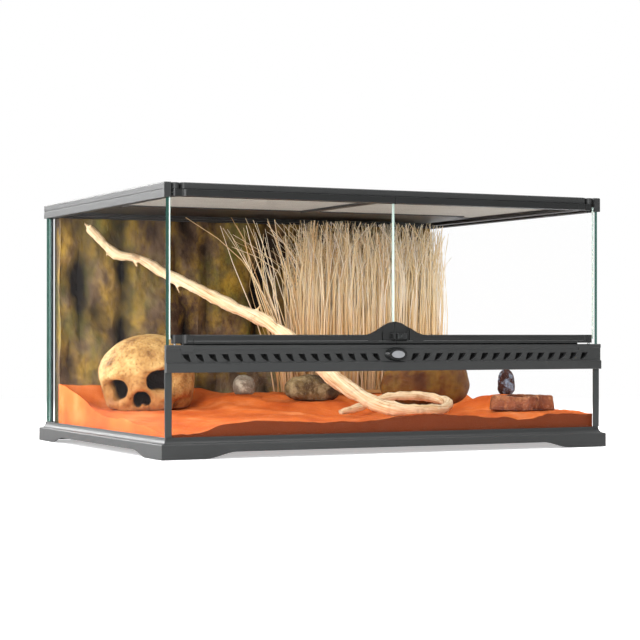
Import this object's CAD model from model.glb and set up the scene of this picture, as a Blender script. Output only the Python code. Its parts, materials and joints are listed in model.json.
"""Looks of a front-opening glass terrarium with a desert fit-out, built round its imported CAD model.

The frame, panes, doors and lid are the CAD's own solids in moulded plastic, float glass and steel.
The sand, rock wall, skull, branch, grass, stones, dish and lid mesh are modelled here in full detail.
"""

import json
import logging
import math
import random
from dataclasses import dataclass
from enum import Enum
from typing import Any, Callable, Iterable, Sequence

import bmesh
import bpy
import numpy as np
from mathutils import Euler, Matrix, Vector
from mathutils.bvhtree import BVHTree

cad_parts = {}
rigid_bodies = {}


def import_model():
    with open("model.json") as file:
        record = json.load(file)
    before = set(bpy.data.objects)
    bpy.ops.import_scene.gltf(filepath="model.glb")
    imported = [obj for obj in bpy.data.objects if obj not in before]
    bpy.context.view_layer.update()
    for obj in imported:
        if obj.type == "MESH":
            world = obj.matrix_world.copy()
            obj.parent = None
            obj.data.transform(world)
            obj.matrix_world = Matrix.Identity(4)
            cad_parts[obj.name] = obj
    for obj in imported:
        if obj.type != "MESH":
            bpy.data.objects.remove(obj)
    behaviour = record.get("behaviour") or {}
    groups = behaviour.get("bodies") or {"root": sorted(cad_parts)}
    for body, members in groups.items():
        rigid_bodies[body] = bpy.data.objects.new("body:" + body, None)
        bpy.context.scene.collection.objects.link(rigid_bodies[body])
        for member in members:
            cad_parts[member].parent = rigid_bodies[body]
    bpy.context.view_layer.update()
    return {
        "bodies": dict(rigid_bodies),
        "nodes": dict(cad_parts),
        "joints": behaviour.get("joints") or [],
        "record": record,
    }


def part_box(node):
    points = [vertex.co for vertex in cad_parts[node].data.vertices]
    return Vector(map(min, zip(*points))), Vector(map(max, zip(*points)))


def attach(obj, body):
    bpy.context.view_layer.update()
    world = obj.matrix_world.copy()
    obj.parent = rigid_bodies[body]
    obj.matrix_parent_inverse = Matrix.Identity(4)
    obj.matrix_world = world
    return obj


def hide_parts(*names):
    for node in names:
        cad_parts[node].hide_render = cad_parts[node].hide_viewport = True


LOG = logging.getLogger("terrarium")
Piece = bpy.types.Object
Tree = bpy.types.NodeTree
Socket = bpy.types.NodeSocket
Colour = tuple[float, float, float, float]
MM = 0.001


# ---------- colours and shader nodes ----------

WHITE: Colour = (1.0, 1.0, 1.0, 1.0)
# Settings of a Mix node that mixes two colours, and of one that multiplies them.
MIXED: dict[str, Any] = {"out": 2, "data_type": "RGBA"}
MULTIPLIED: dict[str, Any] = {**MIXED, "blend_type": "MULTIPLY"}


def tone(code: str) -> Colour:
    """Turn an sRGB hex value into linear light.

    Args:
        code: Hex colour such as "#c9a469".

    Returns:
        Linear red, green, blue and an alpha of 1.
    """
    values = [int(code[i : i + 2], 16) / 255 for i in (1, 3, 5)]
    linear = [v / 12.92 if v <= 0.04045 else ((v + 0.055) / 1.055) ** 2.4 for v in values]
    return (linear[0], linear[1], linear[2], 1.0)


def per_metre(size_mm: float) -> float:
    """Scale of a texture whose pattern repeats about every size_mm."""
    return 1000.0 / size_mm


def add_node(
    tree: Tree, kind: str, links: dict[Any, Any] | None = None, out: int | str = 0, **settings: Any
) -> Socket | None:
    """Add one shader node with its settings and links.

    Args:
        tree: Node tree that takes the node.
        kind: Blender's type name of the node, without ShaderNode in front.
        links: Input name or number to the socket that feeds it, a plain value or a hex colour.
        out: Name or number of the output that is wanted.
        **settings: Properties of the node, and as stops a colour ramp's places and hex colours.

    Returns:
        The wanted output, where the node has outputs.
    """
    made = tree.nodes.new("ShaderNode" + kind)
    stops = settings.pop("stops", ())
    if stops:
        elements = made.color_ramp.elements
        for element, (place, code) in zip(elements, (stops[0], stops[-1])):
            element.position, element.color = place, tone(code)
        for place, code in stops[1:-1]:
            elements.new(place).color = tone(code)
    for name, value in settings.items():
        setattr(made, name, value)
    for name, source in (links or {}).items():
        if isinstance(source, Socket):
            tree.links.new(source, made.inputs[name])
        else:
            made.inputs[name].default_value = tone(source) if isinstance(source, str) else source
    return made.outputs[out] if len(made.outputs) else None


def empty_tree(owner: bpy.types.Material | bpy.types.World) -> Tree:
    """Turn on the nodes of a material or world and clear them.

    Args:
        owner: The material or world.

    Returns:
        Its node tree.
    """
    owner.use_nodes = True
    owner.node_tree.nodes.clear()
    return owner.node_tree


def rough_surface(
    tree: Tree,
    colour: Socket,
    height: Socket,
    depth_mm: float,
    strength: float,
    dullness: float,
    gloss: float,
) -> Socket:
    """Finish a dull surface with its colour and its own relief.

    Args:
        tree: Node tree of the material.
        colour: Colour.
        height: Height of the relief from 0 to 1.
        depth_mm: Real depth of the relief.
        strength: Strength of the relief from 0 to 1.
        dullness: Roughness.
        gloss: Specular level.

    Returns:
        The shader.
    """
    relief = {"Height": height, "Distance": depth_mm * MM, "Strength": strength}
    facts = {"Base Color": colour, "Roughness": dullness, "Specular IOR Level": gloss}
    return add_node(tree, "BsdfPrincipled", {**facts, "Normal": add_node(tree, "Bump", relief)})


@dataclass(frozen=True)
class Finish:
    """What every finish shares: a name, and a material made from its own surface."""

    name: str

    def surface(self, tree: Tree) -> Socket:
        """Build the shader in a material's tree and return it."""
        raise NotImplementedError

    def material(self) -> bpy.types.Material:
        """Find the material, made once.

        Returns:
            The material.
        """
        made = bpy.data.materials.get(self.name)
        if made is None:
            made = bpy.data.materials.new(self.name)
            tree = empty_tree(made)
            add_node(tree, "OutputMaterial", {"Surface": self.surface(tree)})
        return made


@dataclass(frozen=True)
class MouldedPlastic(Finish):
    """Injection-moulded polystyrene: fine satin texture, soft rounded edges that catch the light."""

    colour: str
    second: str
    roughness: float
    edge_mm: float

    def surface(self, tree: Tree) -> Socket:
        """Build a satin plastic with a slight flow pattern and a fine grain.

        Args:
            tree: Node tree of the material.

        Returns:
            The shader.
        """
        place = add_node(tree, "TexCoord", out="Object")
        flow = add_node(tree, "TexNoise", {"Vector": place, "Scale": per_metre(55), "Detail": 3.0})
        # The real spark-eroded grain is about 0.2 mm, drawn at 1 mm so that it shows.
        grain = add_node(tree, "TexNoise", {"Vector": place, "Scale": per_metre(1.0), "Detail": 2.0})
        low, high = self.roughness - 0.05, self.roughness + 0.06
        gloss = add_node(tree, "MapRange", {"Value": flow, "To Min": low, "To Max": high})
        edge = add_node(tree, "Bevel", {"Radius": self.edge_mm * MM}, samples=4)
        relief = {"Height": grain, "Distance": 0.00006, "Strength": 0.5, "Normal": edge}
        colour = add_node(tree, "Mix", {0: flow, 6: self.colour, 7: self.second}, **MIXED)
        facts = {"Base Color": colour, "Roughness": gloss, "Normal": add_node(tree, "Bump", relief)}
        return add_node(tree, "BsdfPrincipled", {**facts, "IOR": 1.55, "Specular IOR Level": 0.32})


class Facing(Enum):
    """The axis that a pane's two large faces look along."""

    X = "X"
    Y = "Y"
    Z = "Z"


@dataclass(frozen=True)
class FloatGlass(Finish):
    """Float glass: clear through its faces, sea green along its ground edges."""

    facing: Facing
    edge: str
    edge_roughness: float = 0.25
    mirror: float = 0.05

    def surface(self, tree: Tree) -> Socket:
        """Build clear faces and coloured edges, told apart by the object's own normals.

        Args:
            tree: Node tree of the material.

        Returns:
            The shader.
        """
        normal = add_node(tree, "TexCoord", out="Normal")
        along = add_node(tree, "SeparateXYZ", {"Vector": normal}, self.facing.value)
        size = add_node(tree, "Math", {0: along}, operation="ABSOLUTE")
        face = add_node(tree, "Math", {0: size, 1: 0.5}, operation="GREATER_THAN")
        # A 4 mm pane shifts what is behind it by under 1 mm, so light goes straight through here
        # and only the mirror share of a glass face, which grows towards grazing, is drawn.
        slant = add_node(tree, "LayerWeight", {"Blend": 0.5}, "Facing")
        fifth = add_node(tree, "Math", {0: slant, 1: 5.0}, operation="POWER")
        shares = {"To Min": 0.04 * self.mirror, "To Max": self.mirror}
        share = add_node(tree, "MapRange", {"Value": fifth, **shares})
        through = add_node(tree, "BsdfTransparent", {"Color": WHITE})
        gloss = add_node(tree, "BsdfGlossy", {"Color": WHITE, "Roughness": 0.0})
        clear = add_node(tree, "MixShader", {"Fac": share, 1: through, 2: gloss})
        facts = {"Base Color": self.edge, "Roughness": self.edge_roughness, "IOR": 1.52}
        ground = add_node(tree, "BsdfPrincipled", {**facts, "Transmission Weight": 0.25})
        pane = add_node(tree, "MixShader", {"Fac": face, 1: ground, 2: clear})
        # Light passes a pane almost undimmed, so its shadow is left out.
        shadow = add_node(tree, "LightPath", out="Is Shadow Ray")
        return add_node(tree, "MixShader", {"Fac": shadow, 1: pane, 2: through})


@dataclass(frozen=True)
class PlainMetal(Finish):
    """Drawn or brushed metal: one tone with fine lines along one axis."""

    colour: str
    roughness: float
    line_mm: float

    def surface(self, tree: Tree) -> Socket:
        """Build a brushed metal.

        Args:
            tree: Node tree of the material.

        Returns:
            The shader.
        """
        place = add_node(tree, "TexCoord", out="Object")
        run = add_node(tree, "Mapping", {"Vector": place, "Scale": (0.02, 1.0, 1.0)})
        lines = add_node(tree, "TexNoise", {"Vector": run, "Scale": per_metre(self.line_mm), "Detail": 2.0})
        low, high = self.roughness - 0.08, self.roughness + 0.1
        gloss = add_node(tree, "MapRange", {"Value": lines, "To Min": low, "To Max": high})
        return add_node(
            tree, "BsdfPrincipled", {"Base Color": self.colour, "Metallic": 1.0, "Roughness": gloss}
        )


@dataclass(frozen=True)
class CoatedWire(Finish):
    """Fly-screen wire with a pale grey coat: a dull, slightly uneven sheen."""

    def surface(self, tree: Tree) -> Socket:
        """Build a pale coated wire.

        Args:
            tree: Node tree of the material.

        Returns:
            The shader.
        """
        place = add_node(tree, "TexCoord", out="Object")
        patches = add_node(tree, "TexNoise", {"Vector": place, "Scale": per_metre(30), "Detail": 2.0})
        colour = add_node(tree, "Mix", {0: patches, 6: "#aaa79f", 7: "#9b978e"}, **MIXED)
        return add_node(tree, "BsdfPrincipled", {"Base Color": colour, "Roughness": 0.5, "Metallic": 0.3})


@dataclass(frozen=True)
class BlackGauze(Finish):
    """Fine black gauze: crossing thread lines over near black."""

    def surface(self, tree: Tree) -> Socket:
        """Build crossing thread lines.

        Args:
            tree: Node tree of the material.

        Returns:
            The shader.
        """
        place = add_node(tree, "TexCoord", out="Object")
        # Real threads are 0.8 mm apart. This scale draws one every 2.8 mm, so that they show.
        fine = {"Vector": place, "Scale": per_metre(1.4) / 6.3}
        across, up = (add_node(tree, "TexWave", fine, "Fac", bands_direction=way) for way in "XZ")
        thread = add_node(tree, "Math", {0: across, 1: up}, operation="MAXIMUM")
        colour = add_node(tree, "ValToRGB", {"Fac": thread}, stops=[(0.55, "#050505"), (0.8, "#1b1c1c")])
        return add_node(tree, "BsdfPrincipled", {"Base Color": colour, "Roughness": 0.7})


@dataclass(frozen=True)
class Silicone(Finish):
    """Clear-grey aquarium silicone: smooth and slightly milky."""

    def surface(self, tree: Tree) -> Socket:
        """Build a smooth dark rubber.

        Args:
            tree: Node tree of the material.

        Returns:
            The shader.
        """
        place = add_node(tree, "TexCoord", out="Object")
        waves = add_node(tree, "TexNoise", {"Vector": place, "Scale": per_metre(6), "Detail": 1.0})
        relief = add_node(tree, "Bump", {"Height": waves, "Distance": 0.0004})
        facts = {"Base Color": "#2b3638", "Roughness": 0.28, "IOR": 1.41, "Normal": relief}
        return add_node(tree, "BsdfPrincipled", facts)


@dataclass(frozen=True)
class DesertSand(Finish):
    """Dyed quartz sand: orange grains of 0.5 mm with paler and darker ones among them."""

    def surface(self, tree: Tree) -> Socket:
        """Build loose matt sand, with a cut face where the 'hollow' attribute is 1.

        Args:
            tree: Node tree of the material.

        Returns:
            The shader.
        """
        place = add_node(tree, "TexCoord", out="Object")
        drift = add_node(tree, "TexNoise", {"Vector": place, "Scale": per_metre(45), "Detail": 5.0})
        # Grains are 0.5 mm, drawn at 1.6 mm so that they show.
        grain = add_node(tree, "TexNoise", {"Vector": place, "Scale": per_metre(1.6), "Detail": 3.0})
        hues = [(0.35, "#c8591c"), (0.55, "#dc702e"), (0.72, "#ec8d50")]
        broad = add_node(tree, "ValToRGB", {"Fac": drift}, stops=hues)
        dark = [(0.32, "#c9a08a"), (0.5, "#ffffff"), (0.7, "#ffffff")]
        specks = add_node(tree, "ValToRGB", {"Fac": grain}, stops=dark)
        lit = add_node(tree, "Mix", {0: 0.55, 6: broad, 7: specks}, **MULTIPLIED)
        # The cut face behind the low front pane is packed and damp, a good deal darker.
        packed = add_node(tree, "Attribute", out="Fac", attribute_name="hollow")
        cut = add_node(tree, "Math", {0: packed, 1: 0.97}, operation="GREATER_THAN")
        colour = add_node(tree, "Mix", {0: cut, 6: lit, 7: "#652a0d"}, **MIXED)
        return rough_surface(tree, colour, grain, 1.2, 0.7, 0.95, 0.2)


@dataclass(frozen=True)
class RockTones:
    """The tones of a painted or real stone, from its clefts to its lit ridges."""

    cleft: str
    deep: str
    body: str
    patch: str
    bright: str


@dataclass(frozen=True)
class PaintedRock(Finish):
    """Stone or stone-painted foam: blotches over a body tone, with darkened hollows."""

    tones: RockTones
    blotch_mm: float
    pit_mm: float
    pit_depth_mm: float
    roughness: float = 0.85
    stretch: float = 1.0
    moss: tuple[float, float] = (0.5, 0.62)

    def surface(self, tree: Tree) -> Socket:
        """Build blotched stone whose hollows come from the 'hollow' attribute.

        Args:
            tree: Node tree of the material.

        Returns:
            The shader.
        """
        tones, blotch, pit = self.tones, per_metre(self.blotch_mm), per_metre(self.pit_mm)
        coords = add_node(tree, "TexCoord", out="Object")
        place = add_node(tree, "Mapping", {"Vector": coords, "Scale": (1.0, 1.0, self.stretch)})
        aside = add_node(tree, "Mapping", {"Vector": place, "Location": (0.37, 0.11, 0.73)})
        blotches, moss, pits = (
            add_node(tree, "TexNoise", {"Vector": spot, "Scale": scale, "Detail": detail, "Roughness": mix})
            for spot, scale, detail, mix in (
                (place, blotch, 6.0, 0.6),
                (aside, blotch / 0.55, 7.0, 0.65),
                (place, pit, 6.0, 0.7),
            )
        )
        hues = [(0.36, tones.deep), (0.5, tones.body), (0.66, tones.patch)]
        body = add_node(tree, "ValToRGB", {"Fac": blotches}, stops=hues)
        spread = [(self.moss[0], "#000000"), (self.moss[1], "#ffffff")]
        cover = add_node(tree, "ValToRGB", {"Fac": moss}, stops=spread)
        mossy = add_node(tree, "Mix", {0: cover, 6: body, 7: tones.bright}, **MIXED)
        worn = add_node(tree, "ValToRGB", {"Fac": pits}, stops=[(0.3, "#8c7f74"), (0.55, "#ffffff")])
        pitted = add_node(tree, "Mix", {0: 0.7, 6: mossy, 7: worn}, **MULTIPLIED)
        hollow = add_node(tree, "Attribute", out="Fac", attribute_name="hollow")
        colour = add_node(tree, "Mix", {0: hollow, 6: pitted, 7: tones.cleft}, **MIXED)
        return rough_surface(tree, colour, pits, self.pit_depth_mm, 0.9, self.roughness, 0.3)


@dataclass(frozen=True)
class BoneResin(Finish):
    """Cast resin painted as old bone: ochre cream with brown washed into pits and hollows."""

    def surface(self, tree: Tree) -> Socket:
        """Build a bone-coloured resin whose wash comes from the 'hollow' attribute.

        Args:
            tree: Node tree of the material.

        Returns:
            The shader.
        """
        place = add_node(tree, "TexCoord", out="Object")
        stain, pits = (
            add_node(tree, "TexNoise", {"Vector": place, "Scale": scale, "Detail": detail, "Roughness": mix})
            for scale, detail, mix in ((per_metre(22), 6.0, 0.6), (per_metre(3.2), 4.0, 0.65))
        )
        hues = [(0.32, "#835c30"), (0.46, "#b1874d"), (0.6, "#c8a468"), (0.75, "#d8ba84")]
        body = add_node(tree, "ValToRGB", {"Fac": stain}, stops=hues)
        flecks = add_node(tree, "ValToRGB", {"Fac": pits}, stops=[(0.34, "#9c7e52"), (0.48, "#ffffff")])
        flecked = add_node(tree, "Mix", {0: 0.75, 6: body, 7: flecks}, **MULTIPLIED)
        # The wash of brown is heaviest round the jaw, and fades out between 50 and 100 mm up.
        height = add_node(tree, "SeparateXYZ", {"Vector": place}, "Z")
        fade = {"From Min": 0.05, "From Max": 0.1, "To Min": 0.75, "To Max": 0.0}
        washed = add_node(tree, "MapRange", {"Value": height, **fade})
        stained = add_node(tree, "Mix", {0: washed, 6: flecked, 7: "#c98f58"}, **MULTIPLIED)
        hollow = add_node(tree, "Attribute", out="Fac", attribute_name="hollow")
        colour = add_node(tree, "Mix", {0: hollow, 6: stained, 7: "#180b08"}, **MIXED)
        return rough_surface(tree, colour, pits, 1.2, 0.7, 0.7, 0.25)


@dataclass(frozen=True)
class BleachedWood(Finish):
    """Sand-blasted vine wood: cream with brown grain lines that run along the branch."""

    def surface(self, tree: Tree) -> Socket:
        """Build grain that follows the 'grain' attribute: along the branch, then round it.

        Args:
            tree: Node tree of the material.

        Returns:
            The shader.
        """
        run = add_node(tree, "Attribute", out="Vector", attribute_name="grain")
        # One grain line every 2.2 mm round the branch, each about 45 mm long.
        along = add_node(tree, "Mapping", {"Vector": run, "Scale": (0.05, 1.0, 1.0)})
        place = add_node(tree, "TexCoord", out="Object")
        lines, weather = (
            add_node(tree, "TexNoise", {"Vector": spot, "Scale": scale, "Detail": detail, "Roughness": 0.6})
            for spot, scale, detail in ((along, per_metre(2.2), 4.0), (place, per_metre(26), 5.0))
        )
        hues = [(0.3, "#a9794b"), (0.42, "#e0bf90"), (0.6, "#f3dfbd")]
        grain = add_node(tree, "ValToRGB", {"Fac": lines}, stops=hues)
        worn = [(0.3, "#b98a5c"), (0.46, "#ffffff"), (0.7, "#fff6e8")]
        patches = add_node(tree, "ValToRGB", {"Fac": weather}, stops=worn)
        wood = add_node(tree, "Mix", {0: 0.6, 6: grain, 7: patches}, **MULTIPLIED)
        hollow = add_node(tree, "Attribute", out="Fac", attribute_name="hollow")
        colour = add_node(tree, "Mix", {0: hollow, 6: wood, 7: "#6e4a2c"}, **MIXED)
        return rough_surface(tree, colour, lines, 1.1, 0.8, 0.7, 0.35)


@dataclass(frozen=True)
class Straw(Finish):
    """Dried grass: hollow stalks from tan at the foot to cream at the tip, no two alike."""

    def surface(self, tree: Tree) -> Socket:
        """Build straw from the 'straw' attribute: tone of the stalk, height up it.

        Args:
            tree: Node tree of the material.

        Returns:
            The shader.
        """
        facts = add_node(tree, "Attribute", out="Vector", attribute_name="straw")
        own, height = add_node(tree, "SeparateXYZ", {"Vector": facts}).node.outputs[:2]
        hues = [(0.0, "#c79a62"), (0.3, "#efd6a2"), (0.6, "#faebc8"), (1.0, "#fffaf0")]
        stalk = add_node(tree, "ValToRGB", {"Fac": own}, stops=hues)
        fade = [(0.0, "#a87848"), (0.25, "#e6c89c"), (0.6, "#ffffff")]
        foot = add_node(tree, "ValToRGB", {"Fac": height}, stops=fade)
        colour = add_node(tree, "Mix", {0: 0.8, 6: stalk, 7: foot}, **MULTIPLIED)
        return add_node(
            tree, "BsdfPrincipled", {"Base Color": colour, "Roughness": 0.6, "Specular IOR Level": 0.3}
        )


FRAME_PLASTIC = MouldedPlastic("moulded_polystyrene_charcoal", "#242525", "#292a2a", 0.5, 0.7)
BASE_PLASTIC = MouldedPlastic("moulded_polystyrene_base", "#262727", "#2b2c2c", 0.5, 0.9)
DOOR_PLASTIC = MouldedPlastic("moulded_polystyrene_doors", "#161717", "#1b1c1c", 0.4, 0.6)
TRIM_PLASTIC = MouldedPlastic("moulded_polystyrene_trim", "#262a2a", "#2b2e2e", 0.42, 0.4)
SMALL_PLASTIC = MouldedPlastic("moulded_acetal_black", "#242626", "#2a2c2c", 0.35, 0.3)
BADGE_PLASTIC = MouldedPlastic("polished_abs_black", "#151616", "#1a1b1b", 0.2, 0.4)
BADGE_METAL = PlainMetal("brushed_aluminium_plate", "#a3a5a8", 0.42, 0.5)
PIN_STEEL = PlainMetal("drawn_steel_pin", "#a8aaac", 0.3, 0.5)
SIDE_GLASS = FloatGlass("float_glass_side", Facing.X, "#23483f")
FLAT_GLASS = FloatGlass("float_glass_flat", Facing.Y, "#35665a")
FLOOR_GLASS = FloatGlass("float_glass_floor", Facing.Z, "#35665a")
DOOR_GLASS = FloatGlass("float_glass_door", Facing.Y, "#cfe6df", 0.15)
MESH_WIRE = CoatedWire("coated_screen_wire")
GAUZE = BlackGauze("black_gauze")
SEALANT = Silicone("aquarium_silicone")
SAND = DesertSand("dyed_desert_sand")
BONE = BoneResin("bone_painted_resin")
WOOD = BleachedWood("sandblasted_vine_wood")
STRAW = Straw("dried_grass")
WALL_TONES = RockTones("#0d0705", "#453224", "#745f48", "#716c33", "#b8932f")
WALL_PAINT = PaintedRock("stone_painted_foam", WALL_TONES, 62, 7, 1.6, stretch=0.62, moss=(0.46, 0.74))
BOULDER_TONES = RockTones("#1a0c06", "#43200f", "#6a3f1a", "#7b5522", "#846024")
BOULDER_ROCK = PaintedRock("brown_sandstone", BOULDER_TONES, 64, 10, 1.6, 0.7)
DARK_TONES = RockTones("#160b07", "#2b1711", "#3d2018", "#4a2a1e", "#8fa0b4")
DARK_ROCK = PaintedRock("dark_sandstone", DARK_TONES, 24, 5, 0.8)
TAN_TONES = RockTones("#1d130d", "#4b3a28", "#75613f", "#8d7a55", "#a2906a")
TAN_ROCK = PaintedRock("tan_slate", TAN_TONES, 30, 6, 1.2)
GREY_TONES = RockTones("#2a211a", "#6d6152", "#8b8171", "#9d9482", "#b3ab98")
GREY_ROCK = PaintedRock("grey_sandstone", GREY_TONES, 22, 5, 1.0)
DISH_TONES = RockTones("#30140b", "#5d2d19", "#80452a", "#965a35", "#b47c52")
DISH_RESIN = PaintedRock("terracotta_resin", DISH_TONES, 26, 4, 0.9, 0.6)


# ---------- work on meshes ----------


class Bench:
    """Hand tools: selection, edit mode, modifiers and the last steps of a piece."""

    @staticmethod
    def clear() -> None:
        """Deselect everything."""
        bpy.ops.object.select_all(action="DESELECT")

    @staticmethod
    def settle() -> None:
        """Put the place, turn and scale of what is selected into its mesh."""
        bpy.ops.object.transform_apply(location=True, rotation=True, scale=True)

    @staticmethod
    def block(name: str, middle: Sequence[float], size: Sequence[float]) -> Piece:
        """Add a block at its size and place.

        Args:
            name: Its name.
            middle: Place of its middle.
            size: Its three sizes.

        Returns:
            The block.
        """
        Bench.clear()
        bpy.ops.mesh.primitive_cube_add(size=1.0, location=middle)
        made = bpy.context.object
        made.name = name
        made.scale = size
        Bench.settle()
        return made

    @staticmethod
    def choose(piece: Piece) -> None:
        """Select one object and make it active.

        Args:
            piece: The object to work on.
        """
        if bpy.context.object is not None and bpy.context.object.mode != "OBJECT":
            bpy.ops.object.mode_set(mode="OBJECT")
        Bench.clear()
        piece.select_set(True)
        bpy.context.view_layer.objects.active = piece

    @staticmethod
    def join(piece: Piece, others: Sequence[Piece]) -> None:
        """Join other objects to a piece.

        Args:
            piece: The object that takes them.
            others: The objects that it takes.
        """
        Bench.choose(piece)
        for other in others:
            other.select_set(True)
        bpy.ops.object.join()

    @staticmethod
    def in_edit(piece: Piece, *steps: Callable[[], Any]) -> None:
        """Run steps in edit mode with everything selected at first.

        Args:
            piece: The mesh to edit.
            *steps: Calls to make, in order.
        """
        Bench.choose(piece)
        bpy.ops.object.mode_set(mode="EDIT")
        bpy.ops.mesh.select_all(action="SELECT")
        for step in steps:
            step()
        bpy.ops.object.mode_set(mode="OBJECT")

    @staticmethod
    def select_faces(piece: Piece, wanted: Callable[[Any], bool]) -> None:
        """Select the faces that pass a test, while in edit mode.

        Args:
            piece: The mesh in edit mode.
            wanted: Test of one bmesh face.
        """
        bpy.ops.mesh.select_mode(type="FACE")
        bpy.ops.mesh.select_all(action="DESELECT")
        skin = bmesh.from_edit_mesh(piece.data)
        for face in skin.faces:
            face.select = wanted(face)
        skin.select_flush_mode()
        bmesh.update_edit_mesh(piece.data)

    @staticmethod
    def modify(piece: Piece, kind: str, **settings: Any) -> None:
        """Add a modifier and apply it.

        Args:
            piece: The object it works on.
            kind: Blender's modifier type.
            **settings: The modifier's properties.
        """
        Bench.choose(piece)
        made = piece.modifiers.new(kind.lower(), kind)
        for name, value in settings.items():
            setattr(made, name, value)
        bpy.ops.object.modifier_apply(modifier=made.name)

    @staticmethod
    def roughen(
        piece: Piece,
        size_mm: float,
        depth_mm: float,
        group: str = "",
        direction: str = "NORMAL",
        level: float = 0.5,
    ) -> None:
        """Push the surface in and out by a cloudy texture.

        Args:
            piece: The mesh.
            size_mm: Size of the lumps.
            depth_mm: Distance between hollow and ridge.
            group: Vertex group that limits it, or empty.
            direction: NORMAL, X, Y or Z.
            level: Texture value that stays where it is.
        """
        texture = bpy.data.textures.new(f"{piece.name}_clouds_{size_mm}", "CLOUDS")
        texture.noise_scale = size_mm * MM
        texture.noise_depth = 3
        Bench.modify(
            piece,
            "DISPLACE",
            texture=texture,
            texture_coords="LOCAL",
            strength=depth_mm * MM,
            mid_level=level,
            direction=direction,
            vertex_group=group,
        )

    @staticmethod
    def sweep(
        name: str, runs: Iterable[list[tuple[Vector, float]]], depth: float, resolution: int
    ) -> Piece:
        """Sweep round rods along lines of points and make them one mesh.

        Args:
            name: Name of the mesh.
            runs: For each rod its points, with the radius there as a share of depth.
            depth: Radius in metres that a share of 1 gives.
            resolution: Blender's bevel resolution, 0 for four sides; rounder rods get end caps.

        Returns:
            The rods.
        """
        curve = bpy.data.curves.new(name, "CURVE")
        curve.dimensions = "3D"
        curve.bevel_depth = depth
        curve.bevel_resolution = resolution
        curve.use_fill_caps = resolution > 0
        for run in runs:
            spline = curve.splines.new("POLY")
            spline.points.add(len(run) - 1)
            for point, (place, radius) in zip(spline.points, run):
                point.co, point.radius = (*place, 1.0), radius
        made = bpy.data.objects.new(name, curve)
        bpy.context.scene.collection.objects.link(made)
        Bench.choose(made)
        bpy.ops.object.convert(target="MESH")
        bpy.context.object.name = name
        return bpy.context.object

    @staticmethod
    def copy_node(frame: dict[str, Any], node: str, name: str) -> Piece:
        """Copy a CAD node and merge its loose triangles into one skin.

        Args:
            node: The CAD node.
            name: Name of the copy.

        Returns:
            The merged copy, with no material.
        """
        source = frame["nodes"][node]
        mesh = source.data.copy()
        mesh.name = name
        mesh.materials.clear()
        for layer in list(mesh.uv_layers):
            mesh.uv_layers.remove(layer)
        made = bpy.data.objects.new(name, mesh)
        bpy.context.scene.collection.objects.link(made)
        Bench.in_edit(made, lambda: bpy.ops.mesh.remove_doubles(threshold=0.00001))
        if mesh.has_custom_normals:
            Bench.choose(made)
            bpy.ops.mesh.customdata_custom_splitnormals_clear()
        return made

    @staticmethod
    def group_where(piece: Piece, name: str, weight: Callable[[Vector], float]) -> str:
        """Make a vertex group from places.

        Args:
            piece: The mesh.
            name: Name of the group.
            weight: Weight from 0 to 1 at a place.

        Returns:
            The group's name.
        """
        group = piece.vertex_groups.new(name=name)
        for vertex in piece.data.vertices:
            group.add([vertex.index], max(0.0, min(1.0, weight(vertex.co))), "REPLACE")
        return group.name

    @staticmethod
    def note(piece: Piece, name: str, values: Iterable[float]) -> None:
        """Store one number per vertex for the material.

        Args:
            piece: The mesh.
            name: Attribute name.
            values: One number for each vertex.
        """
        layer = piece.data.attributes.new(name, "FLOAT", "POINT")
        layer.data.foreach_set("value", np.asarray(list(values), dtype=np.float32))

    @staticmethod
    def soil(piece: Piece, floor: float, reach: float) -> None:
        """Darken the foot of a piece that stands in the sand, by its 'hollow' attribute.

        Args:
            piece: The mesh.
            floor: Height of its underside.
            reach: Height over which the dark fades.
        """
        shade = [max(0.0, 1 - (v.co.z - floor) / reach) * 0.6 for v in piece.data.vertices]
        Bench.note(piece, "hollow", shade)

    @staticmethod
    def note_vectors(piece: Piece, name: str, values: np.ndarray) -> None:
        """Store one vector per vertex for the material.

        Args:
            piece: The mesh.
            name: Attribute name.
            values: Array of one row per vertex.
        """
        layer = piece.data.attributes.new(name, "FLOAT_VECTOR", "POINT")
        layer.data.foreach_set("vector", values.astype(np.float32).ravel())

    @staticmethod
    def complete(
        piece: Piece,
        finish: Finish,
        body: str,
        slot: str,
        stands_for: Sequence[str] = (),
        angle: float = 60.0,
    ) -> Piece:
        """Dress a piece and hang it on its body.

        Args:
            piece: The finished mesh.
            finish: Its finish.
            body: CAD body that it moves with.
            slot: Material slot in the record.
            stands_for: CAD nodes that it takes the place of.
            angle: Edges flatter than this many degrees are shaded smooth.

        Returns:
            The piece.
        """
        Bench.choose(piece)
        Bench.settle()
        bpy.ops.object.shade_smooth_by_angle(angle=math.radians(angle))
        piece.data.materials.clear()
        piece.data.materials.append(finish.material())
        piece.vertex_groups.clear()
        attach(piece, body)
        if stands_for:
            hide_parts(*stands_for)
        LOG.info("%s: %d faces", piece.name, len(piece.data.polygons))
        return piece


# ---------- shell: panes, frames, doors and lid ----------


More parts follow.
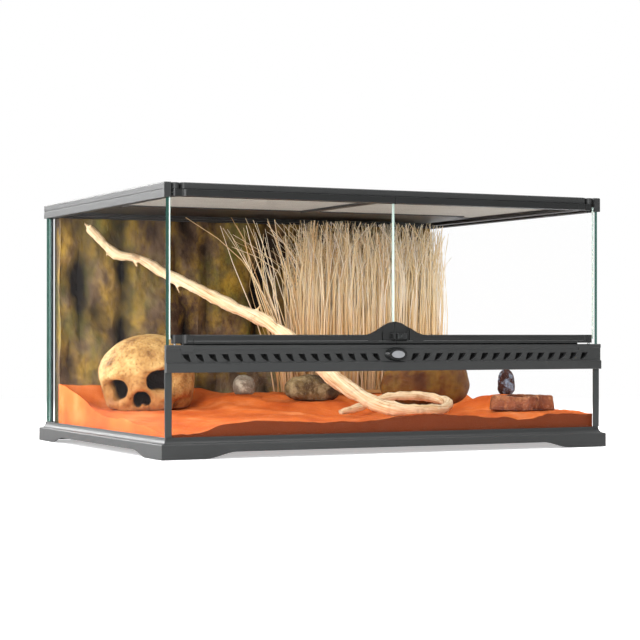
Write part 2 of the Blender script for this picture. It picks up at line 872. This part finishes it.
@dataclass
class Shell:
    """The tank itself: CAD solids that keep their shape and get their materials here."""

    finishes: tuple[tuple[Finish, str], ...] = (
        (BASE_PLASTIC, "base_frame"),
        (FRAME_PLASTIC, "top_frame lid_frame left_lid_ledge right_lid_ledge vent_strip"),
        (TRIM_PLASTIC, "left_corner_trim right_corner_trim"),
        (DOOR_PLASTIC, "left_door_rail right_door_rail left_door_top_rail right_door_top_rail"),
        (SMALL_PLASTIC, "left_bolt_keeper right_bolt_keeper left_inlet_shutter right_inlet_shutter"),
        (SMALL_PLASTIC, "left_lid_bolt right_lid_bolt door_latch"),
        (BADGE_PLASTIC, "badge_bezel"),
        (BADGE_METAL, "badge_plate"),
        (PIN_STEEL, "left_hinge_pins right_hinge_pins"),
        (SIDE_GLASS, "left_glass right_glass"),
        (FLAT_GLASS, "rear_glass front_lower_glass"),
        (FLOOR_GLASS, "floor_glass"),
        (DOOR_GLASS, "left_door_glass right_door_glass"),
        (SEALANT, "silicone_seams"),
    )

    def dress(self, frame: dict[str, Any]) -> None:
        """Give each CAD node its material.
        """
        for finish, nodes in self.finishes:
            for node in nodes.split():
                piece = frame["nodes"][node]
                if not piece.material_slots:
                    piece.data.materials.append(finish.material())
                for slot in piece.material_slots:
                    slot.material = finish.material()
                LOG.info("%s: %s", node, finish.name)


@dataclass
class VentGauze:
    """Black gauze behind the vent slots, one sheet as in the real tank."""

    def build(self) -> Piece:
        """Cut the sheet and hang it on the tank.

        Returns:
            The sheet.
        """
        low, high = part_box("vent_screen")
        made = Bench.block("vent_gauze_sheet", (low + high) / 2, high - low)
        return Bench.complete(made, GAUZE, "tank", "vent_gauze", ["vent_screen"], 30)


@dataclass
class LidMesh:
    """Woven screen of the lid: two sets of wires that cross, one above the other."""

    pitch: float = 2.2 * MM
    wire: float = 0.5 * MM

    def wires(self, name: str, low: Vector, high: Vector, axis: int, height: float) -> Piece:
        """Lay one set of parallel wires.

        Args:
            name: Name of the set.
            low: Lowest corner of the screen.
            high: Highest corner of the screen.
            axis: 0 for wires along X, 1 for wires along Y.
            height: Height of the wires' middle.

        Returns:
            The set as one mesh.
        """
        across = 1 - axis
        span = high[across] - low[across] - self.wire
        count = int(span / self.pitch) + 1
        size = [self.wire, self.wire, self.wire]
        size[axis] = high[axis] - low[axis]
        place = [(low[0] + high[0]) / 2, (low[1] + high[1]) / 2, height]
        place[across] = low[across] + self.wire / 2
        made = Bench.block(name, place, size)
        offset = [0.0, 0.0, 0.0]
        offset[across] = span / (count - 1)
        steps = {"use_relative_offset": False, "use_constant_offset": True}
        Bench.modify(made, "ARRAY", count=count, constant_offset_displace=offset, **steps)
        return made

    def build(self) -> Piece:
        """Weave the screen and hang it on the lid.

        Returns:
            The screen.
        """
        low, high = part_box("lid_mesh")
        middle = (low.z + high.z) / 2
        along = self.wires("lid_screen", low, high, 0, middle - self.wire * 0.4)
        across = self.wires("lid_screen_cross", low, high, 1, middle + self.wire * 0.4)
        Bench.join(along, [across])
        return Bench.complete(along, MESH_WIRE, "lid", "lid_mesh", ["lid_mesh"], 30)


# ---------- fit-out ----------


@dataclass
class SandBed:
    """Loose sand: the CAD's dunes with ripples, small slides and a ragged line at the glass."""

    cuts: int = 4
    ripple_mm: float = 30
    ripple_depth_mm: float = 7.0
    fine_mm: float = 9
    fine_depth_mm: float = 2.2
    wall_gap: float = 0.2 * MM
    # Share of the ripples that the line at the glass takes.
    edge_share: float = 0.8

    def build(self, frame: dict[str, Any]) -> Piece:
        """Refine the CAD's sand and hang it on the tank.


        Returns:
            The sand.
        """
        piece = Bench.copy_node(frame, "sand_bed", "sand")
        low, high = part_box("sand_bed")

        gap = self.wall_gap

        def is_raised(place: Vector) -> bool:
            """Tell a place above the bottom."""
            return place.z > low.z + 0.001

        def is_open(place: Vector) -> bool:
            """Tell a raised place that lies off the four walls."""
            inside = all(low[k] + gap < place[k] < high[k] - gap for k in (0, 1))
            return inside and is_raised(place)

        Bench.in_edit(
            piece,
            lambda: Bench.select_faces(piece, lambda f: f.normal.z > 0.25),
            lambda: bpy.ops.mesh.subdivide(number_cuts=self.cuts),
        )
        inner = Bench.group_where(piece, "inner", is_open)
        upright = {"use_x": False, "use_y": False}
        Bench.modify(piece, "SMOOTH", factor=0.5, iterations=6, vertex_group=inner, **upright)
        rise = Bench.group_where(
            piece, "rise", lambda p: is_open(p) or self.edge_share * is_raised(p)
        )
        Bench.roughen(piece, self.ripple_mm, self.ripple_depth_mm, rise, "Z", 0.55)
        Bench.roughen(piece, self.fine_mm, self.fine_depth_mm, rise, "Z")
        Bench.note(piece, "hollow", [v.co.y < low.y + 0.0006 for v in piece.data.vertices])
        return Bench.complete(piece, SAND, "tank", "sand", ["sand_bed"], 50)


@dataclass
class RockWall:
    """Foam rock wall: the CAD's blocks with broken faces, ledges and dark clefts."""

    cuts: int = 4
    top: float = 304.2 * MM

    def build(self, frame: dict[str, Any]) -> Piece:
        """Refine the CAD's rock wall and hang it on the tank.


        Returns:
            The wall.
        """
        piece = Bench.copy_node(frame, "rock_background", "rock_wall")
        low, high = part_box("rock_background")
        Bench.in_edit(
            piece,
            lambda: Bench.select_faces(piece, lambda f: f.normal.y < -0.05),
            lambda: bpy.ops.mesh.subdivide(number_cuts=self.cuts),
        )
        front = Bench.group_where(
            piece, "front", lambda p: p.y < high.y - 0.004 and abs(p.x) < high.x - 0.001
        )
        for size_mm, depth_mm, level in ((60, 15, 0.42), (22, 7, 0.45), (8, 2.6, 0.45)):
            Bench.roughen(piece, size_mm, depth_mm, front, "Y", level)
        floor_y = low.y + 0.0004
        for vertex in piece.data.vertices:
            vertex.co.y = min(max(vertex.co.y, floor_y), high.y)
            if vertex.co.z > high.z - 0.0075:
                # The real sheet is pushed up to just under the frame.
                vertex.co.z = self.top
        # Clefts are dark from 12 to 25 mm behind the foremost rock, and so is the rear of the foam.
        back = np.array([v.co.y for v in piece.data.vertices])
        cleft = np.clip((back - low.y - 0.012) / 0.013, 0, 1) ** 1.2
        Bench.note(piece, "hollow", np.where(back > high.y - 0.0005, 1.0, cleft))
        return Bench.complete(piece, WALL_PAINT, "tank", "rock_foam", ["rock_background"], 40)


@dataclass(frozen=True)
class HeadPart:
    """One swelling or hollow of the skull, placed by direction from the head's middle."""

    lon: float
    lat: float
    reach_mm: float
    half_mm: tuple[float, float, float]
    turn: float = 0.0
    squareness: float = 0.0

    def build(self, head: Matrix) -> Piece:
        """Make the part as a rounded block or an egg, its first half size along its direction.

        Args:
            head: Place and turn of the head.

        Returns:
            The part.
        """
        out = Matrix.Rotation(math.radians(self.lon), 4, "Z") @ Matrix.Rotation(
            math.radians(-self.lat), 4, "Y"
        )
        spin = Matrix.Rotation(math.radians(self.turn), 4, "X")
        place = head @ out @ Matrix.Translation((self.reach_mm * MM, 0, 0)) @ spin
        Bench.clear()
        if self.squareness:
            bpy.ops.mesh.primitive_cube_add(size=2.0)
        else:
            bpy.ops.mesh.primitive_uv_sphere_add(segments=28, ring_count=18, radius=1.0)
        made = bpy.context.object
        made.scale = [half * MM for half in self.half_mm]
        Bench.settle()
        if self.squareness:
            width = min(self.half_mm) * MM * self.squareness
            Bench.modify(made, "BEVEL", width=width, segments=7, limit_method="NONE")
        made.matrix_world = place
        Bench.choose(made)
        Bench.settle()
        return made


@dataclass
class Skull:
    """Resin skull ornament: the CAD's head with cut sockets, cheekbones, teeth and pitted bone."""

    turn: float = 237.0
    roll: float = 11.0
    rest_mm: float = 49.6
    voxel_mm: float = 0.95
    swellings: tuple[HeadPart, ...] = (
        HeadPart(29, 3, 55, (9, 20, 5), -8),
        HeadPart(-29, 3, 55, (9, 20, 5), 8),
        HeadPart(46, -30, 55, (8, 17, 5), -6),
        HeadPart(-46, -30, 54, (8, 17, 5), 6),
        HeadPart(0, -12, 60, (7, 6, 12)),
        HeadPart(70, -30, 52, (5, 16, 5), 0),
    )
    hollows: tuple[HeadPart, ...] = (
        HeadPart(28.5, -14.5, 58, (25, 18.5, 13), -8, 0.85),
        HeadPart(-29.5, -16, 57, (25, 17, 13.5), 10, 0.85),
        HeadPart(5.5, -34, 58, (17, 7.2, 11), 12),
        HeadPart(-5.0, -34, 58, (17, 7.2, 11), -12),
        HeadPart(53, -44, 71, (17, 8.5, 6.5), 0),
        HeadPart(-53, -44, 71, (17, 8.5, 6.5), 0),
        HeadPart(80, -10, 74, (16, 20, 17), 0),
        HeadPart(-80, -10, 74, (16, 20, 17), 0),
        HeadPart(27, -36, 79, (6, 8, 5), 0),
        HeadPart(-27, -36, 79, (6, 8, 5), 0),
    )
    teeth: int = 11

    def build(self, frame: dict[str, Any]) -> Piece:
        """Model the skull over the CAD's head and hang it on the tank.


        Returns:
            The skull.
        """
        piece = Bench.copy_node(frame, "skull_ornament", "skull")
        low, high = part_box("skull_ornament")
        Bench.modify(piece, "SUBSURF", levels=2, render_levels=2)
        middle = Vector(((low.x + high.x) / 2, (low.y + high.y) / 2, low.z + self.rest_mm * MM))
        head = (
            Matrix.Translation(middle)
            @ Matrix.Rotation(math.radians(self.turn), 4, "Z")
            @ Matrix.Rotation(math.radians(self.roll), 4, "X")
        )
        added = [part.build(head) for part in self.swellings]
        added += [
            HeadPart(k * 66 / (self.teeth - 1) - 33, -42, 71.5, (4.5, 3.6, 8.5)).build(head)
            for k in range(self.teeth)
        ]
        Bench.join(piece, added)
        Bench.modify(piece, "REMESH", mode="VOXEL", voxel_size=self.voxel_mm * MM)
        Bench.modify(piece, "SMOOTH", factor=0.6, iterations=7)
        skin = BVHTree.FromPolygons(
            [v.co.copy() for v in piece.data.vertices], [tuple(p.vertices) for p in piece.data.polygons]
        )
        for part in self.hollows:
            cutter = part.build(head)
            Bench.modify(piece, "BOOLEAN", object=cutter, operation="DIFFERENCE", solver="EXACT")
            bpy.data.objects.remove(cutter)
        Bench.modify(piece, "REMESH", mode="VOXEL", voxel_size=self.voxel_mm * MM)
        Bench.modify(piece, "SMOOTH", factor=0.5, iterations=3)
        depth = [skin.find_nearest(vertex.co)[3] / MM for vertex in piece.data.vertices]
        lift = Bench.group_where(piece, "lift", lambda p: p.z > low.z + 0.002)
        Bench.roughen(piece, 24, 2.0, lift, level=0.55)
        Bench.roughen(piece, 7, 1.1, lift, level=0.55)
        Bench.roughen(piece, 2.6, 0.5, lift)
        for vertex in piece.data.vertices:
            vertex.co.z = max(vertex.co.z, low.z)
        Bench.note(piece, "hollow", [min(1.0, max(0.0, (d - 1.6) / 4.5)) for d in depth])
        return Bench.complete(piece, BONE, "tank", "skull_resin", ["skull_ornament"], 70)


@dataclass
class Driftwood:
    """Vine branch: one bent limb with knots, broken stubs and a looped tip."""

    # Centreline and radius from the top end to the tip, in millimetres, as in the CAD.
    path: tuple[tuple[float, float, float, float], ...] = (
        (-258, 168, 290, 5), (-247, 161, 276, 7), (-226, 149, 254, 7.5), (-197, 138, 248, 7),
        (-166, 121, 228, 8), (-133, 98, 209, 8.5), (-94, 72, 186, 9), (-47, 42, 160, 10),
        (-14, 10, 127, 10), (4, -24, 97, 10.5), (24, -62, 72, 11), (44, -92, 55, 10.5),
        (70, -110, 47.5, 9.5), (104, -114, 46, 8), (140, -98, 46.5, 7.5), (166, -72, 51, 7.5),
        (172, -48, 56, 7.5), (158, -30, 60, 7), (134, -21, 61.5, 7), (106, -17, 60, 7),
        (78, -20, 54, 6.5), (50, -27, 47, 6), (22, -34, 41.8, 5),
    )  # fmt: skip
    # Broken twigs: number of the path point, direction, length and radius in millimetres.
    stubs: tuple[tuple[float, tuple[float, float, float], float, float], ...] = (
        (1.6, (-0.4, -0.6, -0.7), 9, 3.2),
        (2.7, (0.3, -0.5, -0.9), 9, 3.6),
        (4.3, (0.2, -0.4, -0.9), 17, 3.2),
        (6.6, (0.5, -0.4, 0.8), 10, 3.4),
        (8.2, (-0.2, -0.6, -0.8), 8, 4.0),
        (0.2, (-0.8, -0.2, 0.7), 9, 2.6),
        (0.1, (-0.2, -0.8, 0.3), 7, 2.4),
    )
    voxel_mm: float = 1.5

    def point(self, t: float) -> tuple[Vector, float]:
        """Find a place on the smooth centreline.

        Args:
            t: Distance along the path, counted in path points.

        Returns:
            The place in metres and the radius in metres.
        """
        count = len(self.path) - 1
        i = min(int(t), count - 1)
        u = t - i
        a, b, c, d = (Vector(self.path[k]) for k in (max(i - 1, 0), i, i + 1, min(i + 2, count)))
        here = 0.5 * (
            2 * b + (c - a) * u + (2 * a - 5 * b + 4 * c - d) * u**2 + (3 * b - 3 * c + d - a) * u**3
        )
        return Vector(here[:3]) * MM, here[3] * MM

    def limb(self) -> Piece:
        """Sweep the limb along its centreline, a little thicker and thinner as it goes.

        Returns:
            The limb.
        """
        run = []
        for k in range(4 * (len(self.path) - 1) + 1):
            place, radius = self.point(k / 4)
            swell = 1 + 0.06 * math.sin(k * 1.9) + 0.05 * math.sin(k * 0.83 + 1)
            run.append((place, radius * swell * 0.98))
        return Bench.sweep("driftwood_branch", [run], 1.0, 4)

    def stub(self, t: float, way: tuple[float, ...], length: float, radius: float) -> Piece:
        """Add one broken twig.

        Args:
            t: Place along the path, counted in path points.
            way: Direction it points in.
            length: Length beyond the bark in millimetres.
            radius: Radius at the foot in millimetres.

        Returns:
            The twig.
        """
        foot, girth = self.point(t)
        direction = Vector(way).normalized()
        reach = girth + length * MM
        Bench.clear()
        bpy.ops.mesh.primitive_cone_add(
            vertices=10,
            radius1=radius * MM,
            radius2=radius * 0.45 * MM,
            depth=reach,
            location=foot + direction * reach / 2,
            rotation=direction.to_track_quat("Z", "Y").to_euler(),
        )
        return bpy.context.object

    def build(self) -> Piece:
        """Grow the branch and hang it on the tank.

        Returns:
            The branch.
        """
        limb = self.limb()
        Bench.join(limb, [self.stub(*facts) for facts in self.stubs])
        Bench.modify(limb, "REMESH", mode="VOXEL", voxel_size=self.voxel_mm * MM)
        Bench.modify(limb, "SMOOTH", factor=0.5, iterations=3)
        before = np.array([v.co for v in limb.data.vertices])
        for size_mm, depth_mm, level in ((26, 4.6, 0.58), (10, 2.4, 0.58), (3.4, 0.8, 0.6)):
            Bench.roughen(limb, size_mm, depth_mm, level=level)
        self.mark_grain(limb, before)
        return Bench.complete(limb, WOOD, "tank", "driftwood", ["driftwood"], 70)

    def mark_grain(self, piece: Piece, before: np.ndarray) -> None:
        """Store how far along and how far round the branch each vertex lies, and its cracks.

        Args:
            piece: The branch.
            before: Its vertices before the surface was roughened.
        """
        steps = 6 * (len(self.path) - 1)
        line = np.array([self.point(k / 6)[0] for k in range(steps + 1)])
        run = np.concatenate([[0], np.cumsum(np.linalg.norm(np.diff(line, axis=0), axis=1))])
        ways = np.gradient(line, axis=0)
        ways /= np.linalg.norm(ways, axis=1)[:, None]
        side = np.cross(ways, [0.0, 0.0, 1.0])
        side /= np.linalg.norm(side, axis=1)[:, None]
        up = np.cross(side, ways)
        nearest = np.array([np.argmin(((line - p) ** 2).sum(1)) for p in before])
        off = before - line[nearest]
        along = run[nearest] + (off * ways[nearest]).sum(1)
        angle = np.arctan2((off * up[nearest]).sum(1), (off * side[nearest]).sum(1))
        twist = angle + along * 9
        grain = np.stack([along, 0.009 * np.cos(twist), 0.009 * np.sin(twist)], axis=1)
        Bench.note_vectors(piece, "grain", grain)
        after = np.array([v.co for v in piece.data.vertices])
        radial = off / np.maximum(np.linalg.norm(off, axis=1), 1e-6)[:, None]
        sunk = -((after - before) * radial).sum(1)
        Bench.note(piece, "hollow", np.clip((sunk - 0.0013) / 0.0012, 0, 1) * 0.8)


@dataclass
class DryGrass:
    """A thick stand of dried grass: straight, bent and curling stalks over a mat of roots."""

    stalks: int = 1300
    clumps: int = 30
    loose: float = 0.02
    joints: int = 8
    radius_mm: float = 0.95
    right_end: float = 288 * MM
    rear_end: float = 184.5 * MM
    tip_rise: float = 8 * MM
    mat_span: tuple[float, float] = (36 * MM, 268 * MM)
    mat_height: float = 5 * MM
    seed: int = 11

    def stalk(self, dice: random.Random, low: Vector, high: Vector, top: float) -> list[Vector]:
        """Choose the bends of one stalk.

        Args:
            dice: Seeded random numbers.
            low: Lowest corner of the mat.
            high: Highest corner of the mat.
            top: Greatest height of a tip.

        Returns:
            Places from foot to tip.
        """
        loose = dice.random() < self.loose
        clump = dice.randrange(self.clumps)
        middle = low.x + (high.x - low.x) * (clump + 0.5 + 0.3 * math.sin(clump * 7.3)) / self.clumps
        foot = Vector((dice.gauss(middle, 0.0025), 0, low.z + 0.002))
        if loose:
            foot.x = low.x + dice.uniform(-0.028, 0.012)
        foot.x = min(max(foot.x, low.x - 0.03), high.x)
        foot.y = low.y + 0.005 + dice.random() * (high.y - low.y - 0.010)
        fan = -0.018 - 0.075 * dice.random() if loose else 0.0
        stray = 0.034 if dice.random() < 0.12 else 0.009
        lean = Vector((fan + dice.gauss(0, stray), dice.gauss(0, 0.008), 0))
        short = 0.5 + 0.5 * math.sin(clump * 2.7)
        length = (top - low.z) * (1.02 - 0.14 * dice.random() ** 1.6 - 0.13 * short * dice.random())
        bow = Vector((dice.gauss(0, 0.005), dice.gauss(0, 0.004), 0))
        curly = 1.1 if dice.random() < 0.4 else 0.25
        curl = Vector((dice.gauss(0, 0.03), dice.gauss(0, 0.01), -abs(dice.gauss(0, 0.018)))) * curly
        # A stalk near the right pane leans only as far as it has room.
        room = self.right_end - foot.x
        lean.x = min(lean.x, 0.6 * room)
        curl.x = min(curl.x, 0.3 * room)
        places = []
        for k in range(self.joints + 1):
            t = k / self.joints
            place = foot + lean * t**1.4 + bow * math.sin(math.pi * t) + Vector((0, 0, length * t))
            place += curl * (max(0.0, t - 0.62) / 0.38) ** 1.8
            place.x = min(place.x + dice.gauss(0, 0.0009) * t, self.right_end)
            place.y = min(max(place.y, low.y + 0.001), self.rear_end)
            place.z = min(place.z, top)
            places.append(place)
        return places

    def build(self) -> Piece:
        """Grow the grass and hang it on the tank.

        Returns:
            The stalks.
        """
        low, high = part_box("dry_grass")
        mat_low = Vector((self.mat_span[0], low.y, low.z))
        mat_high = Vector((self.mat_span[1], high.y, low.z + self.mat_height))
        dice = random.Random(self.seed)
        runs, facts = [], []
        for _ in range(self.stalks):
            places = self.stalk(dice, mat_low, mat_high, high.z + self.tip_rise)
            hue = dice.random() * 0.75 + 0.25 * (places[0].x - low.x) / (high.x - low.x)
            size = 0.6 + 0.6 * dice.random()
            heights = [k / self.joints for k in range(len(places))]
            runs.append([(place, size * (1.15 - 0.75 * t)) for place, t in zip(places, heights)])
            facts += [(hue, t, 0.0) for t in heights]
        made = Bench.sweep("dry_grass_stalks", runs, self.radius_mm * MM, 0)
        each = len(made.data.vertices) // len(facts)
        Bench.note_vectors(made, "straw", np.repeat(np.array(facts), each, axis=0))
        self.mat(mat_low, mat_high)
        return Bench.complete(made, STRAW, "tank", "dry_grass", ["dry_grass"], 60)

    def mat(self, low: Vector, high: Vector) -> Piece:
        """Lay the mat of roots that the stalks stand in.

        Args:
            low: Its lowest corner.
            high: Its highest corner.

        Returns:
            The mat.
        """
        made = Bench.block("dry_grass_roots", (low + high) / 2, high - low)
        Bench.in_edit(made, lambda: bpy.ops.mesh.subdivide(number_cuts=30))
        Bench.modify(made, "BEVEL", width=0.0012, segments=2, limit_method="ANGLE")
        Bench.roughen(made, 8, 1.6, level=0.8)
        root_tone = np.array([[0.2, 0.1, 0.0]])
        Bench.note_vectors(made, "straw", np.tile(root_tone, (len(made.data.vertices), 1)))
        return Bench.complete(made, STRAW, "tank", "dry_grass", (), 50)


@dataclass
class Stone:
    """A loose stone: the CAD's lump with chipped faces and pits."""

    node: str
    name: str
    slot: str
    finish: Finish
    lump_mm: float
    lump_depth_mm: float

    def build(self, frame: dict[str, Any]) -> Piece:
        """Refine the CAD's stone and hang it on the tank.


        Returns:
            The stone.
        """
        piece = Bench.copy_node(frame, self.node, self.name)
        low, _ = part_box(self.node)
        Bench.modify(piece, "SUBSURF", levels=2, render_levels=2)
        lift = Bench.group_where(piece, "lift", lambda p: p.z > low.z + 0.0015)
        Bench.roughen(piece, self.lump_mm, self.lump_depth_mm, lift, level=0.62)
        Bench.roughen(piece, self.lump_mm / 3.5, self.lump_depth_mm / 4, lift, level=0.6)
        Bench.soil(piece, low.z, 6 * MM)
        return Bench.complete(piece, self.finish, "tank", self.slot, [self.node], 60)


@dataclass
class WaterDish:
    """Rough-cast dish: the CAD's block with broken edges and a pitted wall."""

    def build(self, frame: dict[str, Any]) -> Piece:
        """Refine the CAD's dish and hang it on the tank.


        Returns:
            The dish.
        """
        piece = Bench.copy_node(frame, "water_dish", "dish")
        low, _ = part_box("water_dish")
        Bench.in_edit(piece, lambda: bpy.ops.mesh.dissolve_limited(angle_limit=math.radians(2)))
        Bench.modify(piece, "REMESH", mode="VOXEL", voxel_size=1.1 * MM)
        Bench.modify(piece, "SMOOTH", factor=0.5, iterations=4)
        lift = Bench.group_where(piece, "lift", lambda p: p.z > low.z + 0.0012)
        Bench.roughen(piece, 12, 2.6, lift, level=0.65)
        Bench.roughen(piece, 3.5, 0.7, lift, level=0.6)
        Bench.soil(piece, low.z, 5 * MM)
        return Bench.complete(piece, DISH_RESIN, "tank", "dish_resin", ["water_dish"], 60)


# ---------- studio ----------


@dataclass
class Studio:
    """Pale floor, white surroundings, soft lamps and the photograph's camera."""

    eye: tuple[float, float, float] = (-1.080574, -2.229295, 0.145451)
    yaw: float = -26.045
    lens: float = 104.08
    shift: float = 0.0223
    world_light: float = 0.42
    floor_light: float = 0.45
    floor_size: float = 14.0
    floor_drop: float = 0.6 * MM
    # Place, aim, size in metres and strength in watts of each soft box.
    lamps: tuple[tuple[str, tuple[float, ...], tuple[float, ...], float, float], ...] = (
        ("lamp_left", (-2.4, 0.2, 1.2), (0.0, 0.0, 0.15), 1.8, 58.0),
        ("lamp_rear_left", (-1.25, 2.4, 1.25), (-0.2, 0.0, 0.15), 1.1, 85.0),
        ("lamp_top", (0.6, -0.4, 2.3), (0.0, -0.1, 0.1), 1.4, 58.0),
        ("lamp_front", (-1.9, -2.6, 0.9), (0.0, 0.0, 0.18), 1.6, 100.0),
    )

    def seen(self, tree: Tree) -> Socket:
        """Tell rays that show the surroundings: from the camera, a reflection or through glass.

        Args:
            tree: Node tree of the world or the floor.

        Returns:
            A socket that is 1 for such a ray.
        """
        sight = add_node(tree, "LightPath", out="Is Camera Ray")
        rays = sight.node.outputs
        either = add_node(tree, "Math", {0: sight, 1: rays["Is Glossy Ray"]}, operation="MAXIMUM")
        return add_node(tree, "Math", {0: either, 1: rays["Is Transmission Ray"]}, operation="MAXIMUM")

    def surroundings(self) -> None:
        """Set a world that shows white and lights the object gently."""
        world = bpy.data.worlds.new("studio")
        bpy.context.scene.world = world
        tree = empty_tree(world)
        # Reflections see it white behind the object and dim behind the camera, as a real one is.
        way = add_node(tree, "TexCoord", out="Generated")
        rearward = add_node(tree, "SeparateXYZ", {"Vector": way}, "Y")
        fade = {"From Min": -0.35, "From Max": 0.25, "To Min": 0.22, "To Max": 1.0}
        level = add_node(tree, "MapRange", {"Value": rearward, **fade})
        # Seen directly, or through clear glass, it is white on every side.
        sight = add_node(tree, "LightPath", out="Is Camera Ray")
        strength = add_node(tree, "Math", {0: level, 1: sight}, operation="MAXIMUM")
        light = add_node(tree, "Background", {"Color": WHITE, "Strength": self.world_light})
        shown = add_node(tree, "Background", {"Color": WHITE, "Strength": strength})
        mixed = add_node(tree, "MixShader", {"Fac": self.seen(tree), 1: light, 2: shown})
        add_node(tree, "OutputWorld", {"Surface": mixed})

    def floor(self) -> None:
        """Lay the pale floor, which keeps the object's shadow."""
        Bench.clear()
        bpy.ops.mesh.primitive_plane_add(size=self.floor_size, location=(0, 0, -self.floor_drop))
        plane = bpy.context.object
        plane.name = "studio_floor"
        material = bpy.data.materials.new("pale_floor")
        tree = empty_tree(material)
        matt = add_node(tree, "BsdfDiffuse", {"Color": (0.9, 0.9, 0.9, 1)})
        # Beyond the object the floor is shown as white as the surroundings, so no horizon shows.
        place = add_node(tree, "TexCoord", out="Object")
        reach = add_node(tree, "VectorMath", {0: place}, "Value", operation="LENGTH")
        span = {"Value": reach, "From Min": 0.7, "From Max": 1.9}
        far = add_node(tree, "MapRange", span, interpolation_type="SMOOTHSTEP")
        glow = add_node(tree, "Emission", {"Color": WHITE, "Strength": self.floor_light})
        near = add_node(tree, "AddShader", {0: matt, 1: glow})
        white = add_node(tree, "Emission", {"Color": WHITE, "Strength": 1.0})
        shown = add_node(tree, "MixShader", {"Fac": far, 1: near, 2: white})
        mixed = add_node(tree, "MixShader", {"Fac": self.seen(tree), 1: matt, 2: shown})
        add_node(tree, "OutputMaterial", {"Surface": mixed})
        plane.data.materials.append(material)

    def light(self) -> None:
        """Hang the soft boxes."""
        for name, place, aim, size, watts in self.lamps:
            Bench.clear()
            bpy.ops.object.light_add(type="AREA", location=place)
            lamp = bpy.context.object
            lamp.name = name
            lamp.data.shape = "SQUARE"
            lamp.data.size = size
            lamp.data.energy = watts
            lamp.rotation_euler = (Vector(aim) - Vector(place)).to_track_quat("-Z", "Y").to_euler()

    def camera(self) -> None:
        """Set the photograph's camera, worked out for a square picture."""
        Bench.clear()
        turn = Euler((math.pi / 2, 0, math.radians(self.yaw)))
        bpy.ops.object.camera_add(location=self.eye, rotation=turn)
        made = bpy.context.object
        made.name = "studio_camera"
        made.data.sensor_width = 36.0
        made.data.lens = self.lens
        made.data.shift_y = self.shift
        made.data.clip_start = 0.05
        made.data.clip_end = 60.0
        bpy.context.scene.camera = made

    def build(self) -> None:
        """Set up floor, lamps, surroundings and camera."""
        bpy.context.scene.view_settings.view_transform = "Standard"
        self.surroundings()
        self.floor()
        self.light()
        self.camera()


def main() -> None:
    """Build the studio and every piece."""
    logging.basicConfig(level=logging.INFO, format="%(name)s: %(message)s")
    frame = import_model()
    Bench.clear()
    Studio().build()
    Shell().dress(frame)
    VentGauze().build()
    LidMesh().build()
    SandBed().build(frame)
    RockWall().build(frame)
    Skull().build(frame)
    Driftwood().build()
    DryGrass().build()
    for stone in (
        Stone("big_boulder", "boulder", "boulder", BOULDER_ROCK, 40, 6),
        Stone("small_boulder", "dark_rock", "dark_stone", DARK_ROCK, 14, 3),
        Stone("flat_rock", "slate_rock", "tan_rock", TAN_ROCK, 20, 6),
        Stone("grey_stone", "sandstone_rock", "grey_stone", GREY_ROCK, 14, 3),
    ):
        stone.build(frame)
    WaterDish().build(frame)


if __name__ == "__main__":
    main()
